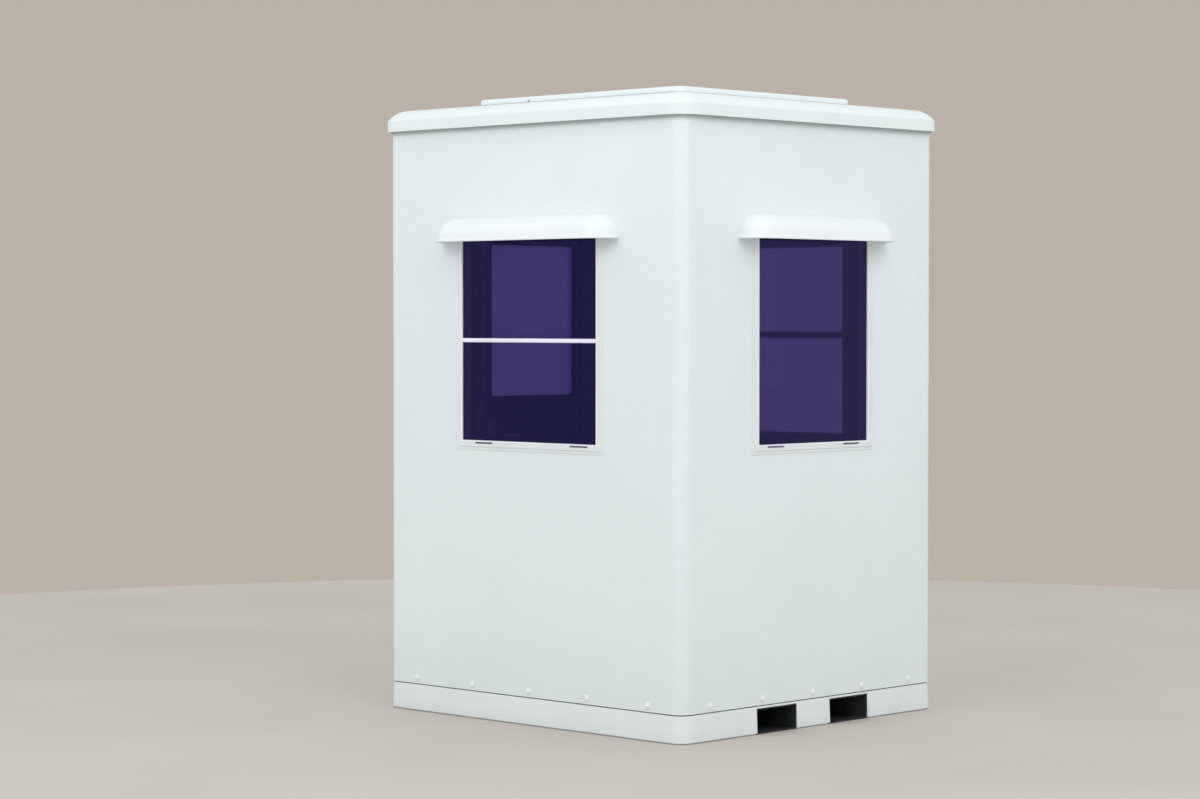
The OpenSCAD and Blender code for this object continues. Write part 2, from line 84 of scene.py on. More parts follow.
def addRings(draft, rings, closeAlong=False):
    # closed rings of the same length, joined in order; the ends are capped unless the last meets the first
    n = len(rings[0])
    faces = []
    count = len(rings)
    for i in range(count if closeAlong else count - 1):
        k = (i + 1) % count
        for j in range(n):
            m = (j + 1) % n
            faces.append([i * n + j, i * n + m, k * n + m, k * n + j])
    if not closeAlong:
        faces.append(list(range(n - 1, -1, -1)))
        faces.append([(count - 1) * n + j for j in range(n)])
    addFaces(draft, [p for ring in rings for p in ring], faces)


def arc(cx, cy, r, start, end, steps):
    turns = [math.radians(start + (end - start) * i / steps) for i in range(steps + 1)]
    return [(cx + r * math.cos(t), cy + r * math.sin(t)) for t in turns]


def roundedLoop(w, d, r, steps=12):
    # points of a rounded rectangle with their outward normals, anticlockwise
    loop = []
    for quarter, (sx, sy) in enumerate([(1, 1), (-1, 1), (-1, -1), (1, -1)]):
        cx, cy = sx * (w / 2 - r), sy * (d / 2 - r)
        for i in range(steps + 1):
            t = math.radians(90 * quarter + 90 * i / steps)
            nx, ny = math.cos(t), math.sin(t)
            loop.append((cx + r * nx, cy + r * ny, nx, ny))
    return loop


def loopRings(loop, profile, lift):
    # profile: distance out along the normal, then height; lift places (x, y, height)
    return [[lift(x + nx * u, y + ny * u, h) for x, y, nx, ny in loop] for u, h in profile]


def flat(x, y, h):
    return (x, y, h)


def addPrism(draft, outline, low, high, soft=0.0, steps=3, lift=flat):
    # a closed outline carried from low to high, with both ends rounded over by soft
    n = len(outline)
    normals = []
    for i in range(n):
        ax, ay = outline[i - 1]
        bx, by = outline[(i + 1) % n]
        tx, ty = bx - ax, by - ay
        size = math.hypot(tx, ty) or 1.0
        normals.append((ty / size, -tx / size))
    levels = []
    if soft > 0:
        for i in range(steps + 1):
            t = math.radians(90 * i / steps)
            levels.append((soft * (1 - math.sin(t)), low + soft * (1 - math.cos(t))))
        for i in range(steps + 1):
            t = math.radians(90 - 90 * i / steps)
            levels.append((soft * (1 - math.sin(t)), high - soft * (1 - math.cos(t))))
    else:
        levels = [(0.0, low), (0.0, high)]
    rings = [[lift(x - nx * inset, y - ny * inset, h)
              for (x, y), (nx, ny) in zip(outline, normals)] for inset, h in levels]
    addRings(draft, rings)


def addLathe(draft, profile, centre, axis, steps=28):
    # profile: radius, then distance along axis; a radius of 0 closes the end in a point fan
    axis = Vector(axis).normalized()
    side = axis.orthogonal().normalized()
    up = axis.cross(side)
    centre = Vector(centre)
    rings = []
    for r, h in profile:
        rings.append([centre + axis * h + (side * math.cos(t) + up * math.sin(t)) * max(r, 1e-5)
                      for t in [2 * math.pi * i / steps for i in range(steps)]])
    addRings(draft, rings)


def rectRing(draft, w, h, mid, profile):
    # mitred ring that stands on a side: profile is distance out from the opening, then depth
    corners = [(1, 1), (-1, 1), (-1, -1), (1, -1)]
    rings = [[(sx * (w / 2 + a), y, mid + sz * (h / 2 + a)) for a, y in profile] for sx, sz in corners]
    addRings(draft, rings, closeAlong=True)


def placePiece(name, draft, material, body, replaces=(), side=None, along=0.0, sharp=35):
    points = onSide(draft[0], side, along) if side else draft[0]
    mesh = bpy.data.meshes.new(name)
    mesh.from_pydata([tuple(p) for p in points], [], draft[1])
    work = bmesh.new()
    work.from_mesh(mesh)
    bmesh.ops.remove_doubles(work, verts=work.verts, dist=2e-6)
    bmesh.ops.recalc_face_normals(work, faces=work.faces)
    work.to_mesh(mesh)
    work.free()
    mesh.shade_smooth()
    mesh.set_sharp_from_angle(angle=math.radians(sharp))
    mesh.materials.append(material)
    obj = bpy.data.objects.new(name, mesh)
    bpy.context.scene.collection.objects.link(obj)
    shading = obj.modifiers.new("flatFaces", "WEIGHTED_NORMAL")
    shading.keep_sharp = True
    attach(obj, body)
    if replaces:
        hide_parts(*replaces)
    return obj


# materials
def tone(r, g, b):
    # screen colour, 0 to 255, as the linear colour that the shader takes
    parts = [c / 255 for c in (r, g, b)]
    return tuple(c / 12.92 if c <= 0.04045 else ((c + 0.055) / 1.055) ** 2.4 for c in parts) + (1.0,)


def startFinish(name):
    finish = bpy.data.materials.new(name)
    finish.use_nodes = True
    tree = finish.node_tree
    shader = tree.nodes["Principled BSDF"]
    coords = tree.nodes.new("ShaderNodeTexCoord").outputs["Object"]
    return finish, tree, shader, coords


def noiseOf(tree, coords, scale, detail=3.0, roughness=0.5, stretch=None):
    if stretch:
        mapping = tree.nodes.new("ShaderNodeMapping")
        mapping.inputs["Scale"].default_value = stretch
        tree.links.new(coords, mapping.inputs["Vector"])
        coords = mapping.outputs["Vector"]
    noise = tree.nodes.new("ShaderNodeTexNoise")
    noise.inputs["Scale"].default_value = scale
    noise.inputs["Detail"].default_value = detail
    noise.inputs["Roughness"].default_value = roughness
    tree.links.new(coords, noise.inputs["Vector"])
    return noise.outputs["Fac"]


def rangeOf(tree, value, fromLow, fromHigh, toLow, toHigh, smooth=False):
    node = tree.nodes.new("ShaderNodeMapRange")
    node.interpolation_type = "SMOOTHSTEP" if smooth else "LINEAR"
    numbers = {"From Min": fromLow, "From Max": fromHigh, "To Min": toLow, "To Max": toHigh}
    for key, number in numbers.items():
        node.inputs[key].default_value = number
    tree.links.new(value, node.inputs["Value"])
    return node.outputs["Result"]


def blendColours(tree, amount, first, second):
    node = tree.nodes.new("ShaderNodeMix")
    node.data_type = "RGBA"
    node.clamp_factor = True
    tree.links.new(amount, node.inputs[0])
    for socket, colour in ((node.inputs[6], first), (node.inputs[7], second)):
        if isinstance(colour, tuple):
            socket.default_value = colour
        else:
            tree.links.new(colour, socket)
    return node.outputs[2]


def maths(tree, kind, first, second):
    node = tree.nodes.new("ShaderNodeMath")
    node.operation = kind
    for socket, value in zip(node.inputs, (first, second)):
        if isinstance(value, (int, float)):
            socket.default_value = value
        else:
            tree.links.new(value, socket)
    return node.outputs[0]


def heightOf(tree, coords):
    split = tree.nodes.new("ShaderNodeSeparateXYZ")
    tree.links.new(coords, split.inputs[0])
    return split.outputs["Z"]


def insideRoom(tree, coords, deep):
    # 1 further in than deep from the outer faces of the walls, 0 outside of it
    split = tree.nodes.new("ShaderNodeSeparateXYZ")
    tree.links.new(coords, split.inputs[0])
    depths = []
    for axis, half in (("X", halfWidth), ("Y", halfDepth)):
        span = maths(tree, "ABSOLUTE", split.outputs[axis], 0.0)
        depths.append(maths(tree, "LESS_THAN", span, half - deep))
    return maths(tree, "MULTIPLY", depths[0], depths[1])


def addBump(tree, shader, layers):
    # layers: height socket, depth in metres, strength; each bump feeds the next
    normal = None
    for height, depth, strength in layers:
        bump = tree.nodes.new("ShaderNodeBump")
        bump.inputs["Distance"].default_value = depth
        bump.inputs["Strength"].default_value = strength
        tree.links.new(height, bump.inputs["Height"])
        if normal:
            tree.links.new(normal, bump.inputs["Normal"])
        normal = bump.outputs["Normal"]
    tree.links.new(normal, shader.inputs["Normal"])


def mouldedFinish(name, look):
    # gel-coated laminate: even colour with faint clouds, orange peel, rain streaks and road dust
    finish, tree, shader, coords = startFinish(name)
    clouds = noiseOf(tree, coords, look["cloudScale"], 4.0, 0.55)
    cloudMask = rangeOf(tree, clouds, 0.3, 0.7, 0.0, 1.0, True)
    colour = blendColours(tree, cloudMask, tone(*look["shade"]), tone(*look["colour"]))
    streaks = noiseOf(tree, coords, look["streakScale"], 5.0, 0.6, (1.0, 1.0, 0.05))
    streakMask = rangeOf(tree, streaks, 0.52, 0.8, 0.0, look["streaks"], True)
    colour = blendColours(tree, streakMask, colour, tone(*look["streakColour"]))
    specks = noiseOf(tree, coords, look["speckScale"], 2.0, 0.7)
    speckMask = rangeOf(tree, specks, 0.68, 0.74, 0.0, look["specks"])
    colour = blendColours(tree, speckMask, colour, tone(*look["streakColour"]))
    height = heightOf(tree, coords)
    patches = noiseOf(tree, coords, 9.0, 6.0, 0.65)
    lowDown = rangeOf(tree, height, look["dustLow"], look["dustHigh"], 1.0, 0.0, True)
    splash = maths(tree, "MULTIPLY", lowDown, rangeOf(tree, patches, 0.35, 0.75, 0.2, 1.0))
    dustMask = maths(tree, "MULTIPLY", splash, look["dust"])
    colour = blendColours(tree, dustMask, colour, tone(*look["dustColour"]))
    # painted shade: the walls are darkened just below the roof lip, where the overhang shades them
    if "eaves" in look:
        under = rangeOf(tree, height, lipFoot - look["eaves"] * mm, lipFoot, 0.0, look["eavesShadeAmount"], True)
        colour = blendColours(tree, under, colour, tone(*look["eavesShadeColour"]))
    # painted shade and painted light: inside the room the walls turn darker and bluer, standing in for the
    # dim violet light through the tinted panes
    if "shadedLining" in look:
        inside = insideRoom(tree, coords, look["liningDepth"] * mm)
        colour = blendColours(tree, inside, colour, tone(*look["shadedLining"]))
    tree.links.new(colour, shader.inputs["Base Color"])
    gloss = rangeOf(tree, clouds, 0.3, 0.7, look["roughness"] - 0.04, look["roughness"] + 0.05)
    tree.links.new(maths(tree, "ADD", gloss, maths(tree, "MULTIPLY", dustMask, 0.4)),
                   shader.inputs["Roughness"])
    shader.inputs["Specular IOR Level"].default_value = look["specular"]
    peel = noiseOf(tree, coords, look["peelScale"], 2.0, 0.5)
    waves = noiseOf(tree, coords, look["waveScale"], 2.0, 0.5)
    addBump(tree, shader, [(waves, look["waveDepth"] * mm, 1.0), (peel, look["peelDepth"] * mm, 1.0)])
    return finish


shellLook = {
    "colour": (229, 238, 239), "shade": (227, 236, 237), "cloudScale": 2.2,
    "streakColour": (200, 209, 205), "streakScale": 16.0, "streaks": 0.03,
    "speckScale": 160.0, "specks": 0.10,
    "dustColour": (176, 172, 160), "dustLow": 0.10, "dustHigh": 0.42, "dust": 0.07,
    "roughness": 0.5, "specular": 0.2,
    "peelScale": 420.0, "peelDepth": 0.05, "waveScale": 5.0, "waveDepth": 0.7,
}
# the walls also carry painted shade under the eaves, and further in than liningDepth they turn to a lining
# colour painted darker and bluer, as shade and violet window light inside the room
wallLook = dict(shellLook, shadedLining=(190, 196, 208), liningDepth=25,
                eaves=24, eavesShadeAmount=0.5, eavesShadeColour=(150, 156, 156))
leafLook = dict(wallLook, liningDepth=31.5)
roofLook = dict(shellLook, colour=(231, 238, 239), shade=(229, 237, 237), streaks=0.05, dust=0.0,
                roughness=0.45, waveDepth=0.5)
hoodLook = dict(roofLook, colour=(237, 241, 243), shade=(235, 240, 241), streaks=0.02, specks=0.05,
                waveDepth=0.2)
skirtLook = dict(shellLook, colour=(231, 238, 237), shade=(227, 234, 233), cloudScale=5.0,
                 dustColour=(160, 155, 145), dustLow=0.0, dustHigh=0.06, dust=0.14,
                 specks=0.3, roughness=0.46)
wallFinish = mouldedFinish("wallGelcoat", wallLook)
leafFinish = mouldedFinish("leafGelcoat", leafLook)
roofFinish = mouldedFinish("roofGelcoat", roofLook)
hoodFinish = mouldedFinish("hoodGelcoat", hoodLook)
skirtFinish = mouldedFinish("skirtGelcoat", skirtLook)


def coatedFinish(name, look):
    # powder-coated section: fine texture, slight unevenness, a little dust
    finish, tree, shader, coords = startFinish(name)
    patches = noiseOf(tree, coords, look["patchScale"], 4.0, 0.6)
    mask = rangeOf(tree, patches, 0.35, 0.7, 0.0, 1.0, True)
    colour = blendColours(tree, mask, tone(*look["colour"]), tone(*look["shade"]))
    dirt = noiseOf(tree, coords, look["dirtScale"], 6.0, 0.7)
    dirtMask = rangeOf(tree, dirt, 0.55, 0.8, 0.0, look["dirt"], True)
    colour = blendColours(tree, dirtMask, colour, tone(*look["dirtColour"]))
    tree.links.new(colour, shader.inputs["Base Color"])
    tree.links.new(rangeOf(tree, dirt, 0.3, 0.8, look["roughness"] - 0.05, look["roughness"] + 0.12),
                   shader.inputs["Roughness"])
    shader.inputs["Metallic"].default_value = look["metallic"]
    shader.inputs["Specular IOR Level"].default_value = look["specular"]
    grain = noiseOf(tree, coords, look["grainScale"], 3.0, 0.6)
    addBump(tree, shader, [(grain, look["grainDepth"] * mm, 1.0)])
    return finish


frameLook = {
    "colour": (228, 235, 235), "shade": (224, 231, 231), "patchScale": 6.0,
    "dirtColour": (186, 192, 190), "dirtScale": 30.0, "dirt": 0.18,
    "roughness": 0.38, "metallic": 0.0, "specular": 0.4, "grainScale": 900.0, "grainDepth": 0.03,
}
beadLook = dict(frameLook, colour=(246, 246, 255), shade=(238, 238, 250), dirt=0.05, roughness=0.3)
steelLook = {
    "colour": (56, 59, 64), "shade": (40, 42, 46), "patchScale": 14.0,
    "dirtColour": (88, 82, 74), "dirtScale": 22.0, "dirt": 0.5,
    "roughness": 0.6, "metallic": 0.0, "specular": 0.35, "grainScale": 260.0, "grainDepth": 0.15,
}
brightLook = {
    "colour": (213, 222, 233), "shade": (196, 205, 216), "patchScale": 20.0,
    "dirtColour": (120, 118, 114), "dirtScale": 50.0, "dirt": 0.15,
    "roughness": 0.3, "metallic": 1.0, "specular": 0.5, "grainScale": 700.0, "grainDepth": 0.02,
}
rubberLook = dict(steelLook, colour=(20, 20, 21), shade=(28, 28, 29), dirt=0.12, roughness=0.72,
                  grainScale=600.0, grainDepth=0.05)
weepLook = dict(rubberLook, colour=(104, 104, 109), shade=(88, 88, 93), roughness=0.5)
# grey of the band painted as shade round the roof tray's foot
shadeBandLook = dict(weepLook, colour=(180, 186, 189), shade=(168, 174, 177))
floorLook = dict(steelLook, colour=(118, 120, 122), shade=(104, 106, 108), patchScale=3.0,
                 dirtColour=(150, 146, 138), dirtScale=260.0, dirt=0.8, roughness=0.55,
                 grainScale=320.0, grainDepth=0.12)
frameFinish = coatedFinish("frameCoat", frameLook)
beadFinish = coatedFinish("glazingBead", beadLook)
steelFinish = coatedFinish("baseSteel", steelLook)
brightFinish = coatedFinish("brightMetal", brightLook)
rubberFinish = coatedFinish("doorRubber", rubberLook)
weepFinish = coatedFinish("weepPlastic", weepLook)
shadeBandFinish = coatedFinish("trayShadeBandPaint", shadeBandLook)
floorFinish = coatedFinish("floorVinyl", floorLook)

glassLook = {"tint": (145, 138, 196), "patch": (141, 134, 193), "roughness": 0.02, "ior": 1.7,
             "specular": 0.9, "smear": 0.03, "sheenTint": (0.08, 0.08, 1.0, 1.0)}


def tintedFinish(name, look):
    finish, tree, shader, coords = startFinish(name)
    film = noiseOf(tree, coords, 1.6, 3.0, 0.5)
    mask = rangeOf(tree, film, 0.35, 0.65, 0.0, 1.0, True)
    tree.links.new(blendColours(tree, mask, tone(*look["tint"]), tone(*look["patch"])),
                   shader.inputs["Base Color"])
    smear = noiseOf(tree, coords, 14.0, 5.0, 0.65)
    tree.links.new(rangeOf(tree, smear, 0.5, 0.8, look["roughness"], look["roughness"] + look["smear"]),
                   shader.inputs["Roughness"])
    shader.inputs["Transmission Weight"].default_value = 1.0
    shader.inputs["IOR"].default_value = look["ior"]
    shader.inputs["Specular IOR Level"].default_value = look["specular"]
    shader.inputs["Specular Tint"].default_value = look["sheenTint"]
    return finish


# the panes on the door and in the back wall reflect more plainly
plainLook = dict(glassLook, sheenTint=(0.75, 0.78, 0.9, 1.0), specular=0.5)
glassFinish = tintedFinish("violetGlass", glassLook)
plainFinish = tintedFinish("plainGlass", plainLook)
print("finishes ready")


def dress(nodes, finish):
    for node in nodes:
        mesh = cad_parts[node].data
        mesh.materials.clear()
        mesh.materials.append(finish)


dress(["front_wall", "back_wall", "right_wall", "left_wall_front", "left_wall_back",
       "left_wall_head", "ceiling_panel"], wallFinish)
dress(["base_rail_front", "base_rail_back", "base_rail_left", "base_rail_right", "base_joists",
       "fork_tunnel_front", "fork_tunnel_back"], steelFinish)
dress(["floor_panel"], floorFinish)
plainPanes = ["door_glass", "back_window_glass_upper", "back_window_glass_lower"]
dress([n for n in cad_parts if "glass" in n and n not in plainPanes], glassFinish)
dress(plainPanes, plainFinish)

# base skirt
skirt = {"thick": 8, "flare": 5, "edge": 1.2, "lift": 4.5, "under": 10, "radius": 50, "cornerSteps": 14}


def buildSkirt():
    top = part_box("base_skirt")[1][2]
    lintel = nodeBox("fork_tunnel_front")[1].z
    mouths = [(nodeBox(n)[0].y, nodeBox(n)[1].y) for n in ("fork_tunnel_front", "fork_tunnel_back")]
    inner, edge = -skirt["thick"] * mm, skirt["edge"] * mm
    flare = skirt["flare"] * mm

    def face(z):
        return flare * (1 - z / top)

    lift, heel = skirt["lift"] * mm, flare - skirt["under"] * mm
    profile = [(inner, 0.0), (heel, 0.0), (heel, lift), (face(lift) - edge, lift),
               (face(lift) - edge * 0.3, lift + edge * 0.3), (face(lift + edge), lift + edge),
               (face(lintel), lintel), (face(top - edge), top - edge),
               (face(top) - edge * 0.3, top - edge * 0.3), (face(top) - edge, top),
               (inner, top), (inner, lintel)]
    over, last = 6, 11                            # the lintel's points on the outer and inner face
    loop = roundedLoop(2 * halfWidth, 2 * halfDepth, skirt["radius"] * mm, skirt["cornerSteps"])
    cuts = sorted(y for mouth in mouths for y in mouth)
    stations = []
    for i, here in enumerate(loop):
        stations.append(here)
        ahead = loop[(i + 1) % len(loop)]
        if abs(here[0] - ahead[0]) < 1e-9 and abs(here[1] - ahead[1]) > 0.2:
            for y in (cuts if ahead[1] > here[1] else cuts[::-1]):
                stations.append((here[0], y, here[2], here[3]))
    rings = [[(x + nx * u, y + ny * u, h) for u, h in profile] for x, y, nx, ny in stations]
    n, count = len(profile), len(rings)
    faces = []
    for i in range(count):
        k = (i + 1) % count
        middle = (stations[i][1] + stations[k][1]) / 2
        straight = abs(stations[i][0] - stations[k][0]) < 1e-9
        mouth = straight and any(a < middle < b for a, b in mouths)
        for j in range(n):
            m = (j + 1) % n
            if mouth and (j < over or j == last):
                continue
            faces.append([i * n + j, i * n + m, k * n + m, k * n + j])
        if mouth:
            cheek = list(range(over + 1)) + [last]
            faces.append([i * n + last, i * n + over, k * n + over, k * n + last])
            faces.append([i * n + j for j in cheek])
            faces.append([k * n + j for j in reversed(cheek)])
    draft = newDraft()
    addFaces(draft, [p for ring in rings for p in ring], faces)
    placePiece("baseSkirt", draft, skirtFinish, "shell", ["base_skirt"], sharp=30)


buildSkirt()

# corner posts
post = {"leg": 96, "proud": 1.5, "radius": 50, "edge": 1.2, "steps": 14}


def buildPost(sx, sy, name, node):
    leg, proud = post["leg"] * mm, post["proud"] * mm
    r = post["radius"] * mm + proud
    edge = post["edge"] * mm
    reach = leg + proud
    inner = leg - wallThick
    outline = [(0.0, inner), (inner, inner), (inner, 0.0), (reach - edge, 0.0), (reach, edge)]
    outline += arc(reach - r, reach - r, r, 0, 90, post["steps"])
    outline += [(edge, reach), (0.0, reach - edge)]
    draft = newDraft()
    addPrism(draft, outline, wallFoot, wallTop, edge, 2)
    draft[0][:] = [Vector((sx * (halfWidth - leg + p.x), sy * (halfDepth - leg + p.y), p.z))
                   for p in draft[0]]
    placePiece(name, draft, wallFinish, "shell", [node], sharp=30)


for sx, sideName in ((-1, "Left"), (1, "Right")):
    for sy, endName in ((-1, "front"), (1, "back")):
        buildPost(sx, sy, endName + sideName + "Post", "corner_post_" + endName + "_" + sideName.lower())

# bolt caps
cap = {"radius": 13, "flange": 1.4, "dome": 7.0, "rim": 1.2, "steps": 24,
       "front": (-614, -307, 0, 307, 614), "back": (-614, -307, 0, 307, 614),
       "right": (-573, -286.5, 0, 286.5, 573), "left": (-573, 573)}


def buildCaps():
    low, high = nodeBox("bolt_caps")
    mid = (low.z + high.z) / 2
    r, flange, dome = cap["radius"] * mm, cap["flange"] * mm, cap["dome"] * mm
    profile = [(0.0, 0.0), (r, 0.0), (r, flange * 0.7), (r - 0.3 * mm, flange)]
    domeR = r - cap["rim"] * mm
    profile += [(domeR * math.cos(math.radians(a)), flange + (dome - flange) * math.sin(math.radians(a)))
                for a in (0, 20, 40, 58, 74, 85)]
    profile.append((0.0, dome))
    draft = newDraft()
    for side in ("front", "back", "right", "left"):
        own = newDraft()
        for place in cap[side]:
            addLathe(own, profile, (place * mm, 0.0, mid), (0, -1, 0), cap["steps"])
        addFaces(draft, onSide(own[0], side), own[1])
    placePiece("boltCaps", draft, hoodFinish, "shell", ["bolt_caps"], sharp=50)


buildCaps()
print("base, posts and caps built")

# roof
roof = {"lipOut": 28, "lipThick": 6, "fascia": 40, "bendR": 8, "bendSlope": 50, "shoulderR": 112,
        "radius": 65, "edge": 1.5, "steps": 18, "bendSteps": 8, "shoulderSteps": 14}
tray = {"round": 9, "radius": 40, "kerbIn": 18, "steps": 12, "kerbSteps": 8, "roundSteps": 6}
# a grey band round the tray's foot: painted shade, a dark strip put where the tray meets the deck in
# shadow
trayShadeBand = {"proud": 1.5, "wide": 8, "below": 3, "above": 5.5, "edge": 0.8}
trayClip = {"along": -250, "wide": 9, "thick": 1.6, "up": 13, "under": 12, "soft": 0.4}


def buildRoof():
    foot = lipFoot
    underside = nodeBox("ceiling_panel")[1].z
    deck = nodeBox("roof_tray")[0].z
    out, thick = roof["lipOut"] * mm, roof["lipThick"] * mm
    edge = roof["edge"] * mm
    bendR, slope = roof["bendR"] * mm, roof["bendSlope"]
    shoulderR = roof["shoulderR"] * mm
    profile = [(0.0015, underside), (out - thick, foot + roof["fascia"] * mm), (out - thick, foot),
               (out - edge, foot), (out - edge * 0.3, foot + edge * 0.3), (out, foot + edge)]
    rise = foot + roof["fascia"] * mm
    turn = 90 - slope
    for i in range(roof["bendSteps"] + 1):
        a = math.radians(turn * i / roof["bendSteps"])
        profile.append((out - bendR * (1 - math.cos(a)), rise + bendR * math.sin(a)))
    bendU, bendZ = bendR * (1 - math.cos(math.radians(turn))), bendR * math.sin(math.radians(turn))
    deckU = out - bendU - shoulderR * math.sin(math.radians(slope))
    deckZ = rise + bendZ + shoulderR * (1 - math.cos(math.radians(slope)))
    for i in range(1, roof["shoulderSteps"] + 1):
        a = math.radians(slope * (1 - i / roof["shoulderSteps"]))
        profile.append((deckU + shoulderR * math.sin(a), deckZ - shoulderR * (1 - math.cos(a))))
    loop = roundedLoop(2 * halfWidth, 2 * halfDepth, roof["radius"] * mm, roof["steps"])
    draft = newDraft()
    addRings(draft, loopRings(loop, profile, flat))
    trayLow, trayHigh = nodeBox("roof_tray")
    inset = tray["kerbIn"] * mm
    middle = (trayLow + trayHigh) / 2

    def onTray(x, y, h):
        return (x + middle.x, y + middle.y, h)

    kerb = roundedLoop(trayHigh.x - trayLow.x - 2 * inset, trayHigh.y - trayLow.y - 2 * inset,
                       (tray["radius"] - tray["kerbIn"]) * mm, tray["kerbSteps"])
    addRings(draft, loopRings(kerb, [(0.0, deckZ - 0.005), (0.0, deck + 0.001)], onTray))
    placePiece("roofMoulding", draft, roofFinish, "shell", ["roof_cap"], sharp=40)

    soft = tray["round"] * mm
    plate = roundedLoop(trayHigh.x - trayLow.x, trayHigh.y - trayLow.y, tray["radius"] * mm, tray["steps"])
    trayProfile = [(-0.002, trayLow.z), (0.0, trayLow.z + 0.002)]
    trayProfile += arc(-soft, trayHigh.z - soft, soft, 0, 90, tray["roundSteps"])
    draft = newDraft()
    addRings(draft, loopRings(plate, trayProfile, onTray))
    placePiece("roofTray", draft, roofFinish, "shell", ["roof_tray"], sharp=40)

    # painted shade: a grey strip proud of the tray's foot, standing for the shadow line between tray and
    # deck
    out, back = trayShadeBand["proud"] * mm, (trayShadeBand["proud"] - trayShadeBand["wide"]) * mm
    foot, head = trayLow.z - trayShadeBand["below"] * mm, trayLow.z + trayShadeBand["above"] * mm
    edge = trayShadeBand["edge"] * mm
    draft = newDraft()
    rings = loopRings(plate, [(out, foot + edge), (out, head - edge), (out - edge, head), (back, head),
                              (back, foot), (out - edge, foot)], onTray)
    addRings(draft, rings, closeAlong=True)
    placePiece("trayShadeBand", draft, shadeBandFinish, "shell", sharp=40)

    wide, thin = trayClip["wide"] * mm, trayClip["thick"] * mm
    up, under = trayClip["up"] * mm, trayClip["under"] * mm
    bracket = [(-under, -thin), (thin, -thin), (thin, up), (0.0, up), (0.0, 0.0), (-under, 0.0)]
    draft = newDraft()
    for face, way in ((trayLow.y, -1), (trayHigh.y, 1)):
        start = -way * trayClip["along"] * mm - wide / 2
        addPrism(draft, bracket, start, start + wide, trayClip["soft"] * mm, 2,
                 lambda out, lift, along: (along, face + way * out, trayLow.z + lift))
    placePiece("trayClips", draft, brightFinish, "shell", sharp=40)


buildRoof()

# rain hoods
hood = {"out": 91, "flange": 9, "lip": 10, "thick": 4, "endSteps": 14, "archSteps": 14}


def hoodProfile(high):
    # distance out from the wall, then height above the foot: outer skin, then back along the inner one
    out, lip, thick = hood["out"] * mm, hood["lip"] * mm, hood["thick"] * mm
    flange = hood["flange"] * mm
    steps = hood["archSteps"]
    outer = [(out + flange - 0.0018, 0.0), (out + flange, thick - 0.0004),
             (out + flange - 0.0004, thick), (out + 0.0016, thick), (out + 0.0004, thick + 0.0006),
             (out, thick + 0.002)]
    outer += [(out * math.cos(math.radians(90 * i / steps)),
               lip + (high - lip) * math.sin(math.radians(90 * i / steps))) for i in range(steps + 1)]
    inner = [((out - thick) * math.cos(math.radians(90 * i / steps)),
              lip + (high - thick - lip) * math.sin(math.radians(90 * i / steps)))
             for i in range(steps, -1, -1)]
    inner.append((out - thick, 0.0))
    return outer + inner


def buildHood(name, node, side, along=0.0):
    low, high = nodeBox(node)
    length = (high.x - low.x) if side in ("front", "back") else (high.y - low.y)
    half = length / 2 - (hood["out"] + hood["flange"]) * mm
    profile = hoodProfile(high.z - low.z)
    rings = []
    steps = hood["endSteps"]
    for i in range(steps + 1):
        a = math.radians(90 * i / steps)
        rings.append([(-half - u * math.cos(a), -u * math.sin(a), low.z + h) for u, h in profile])
    for i in range(steps + 1):
        a = math.radians(90 * i / steps)
        rings.append([(half + u * math.sin(a), -u * math.cos(a), low.z + h) for u, h in profile])
    draft = newDraft()
    addRings(draft, rings)
    placePiece(name, draft, hoodFinish, "shell", [node], side, along, sharp=50)


doorLow, doorHigh = nodeBox("door_leaf")
doorShift = -(doorLow.y + doorHigh.y) / 2
buildHood("frontHood", "front_window_hood", "front")
buildHood("backHood", "back_window_hood", "back")
buildHood("rightHood", "right_window_hood", "right")
buildHood("doorHood", "door_hood", "left", doorShift)
print("roof and hoods built")

# windows
sash = {"flange": 12, "face": 24, "flangeProud": 2.5, "proud": 6, "bead": 7, "beadProud": 7.2,
        "liner": 18, "trim": 30, "glassFace": 2, "glassThick": 6, "glassInBar": 4, "barProud": 5,
        "barBack": 12, "seal": 2.2, "sealProud": 1.0}
weep = {"length": 92, "height": 6.5, "proud": 1.4, "belowGlass": 12,
        "front": (-234, 268), "back": (-234, 268), "right": (-221, 212)}


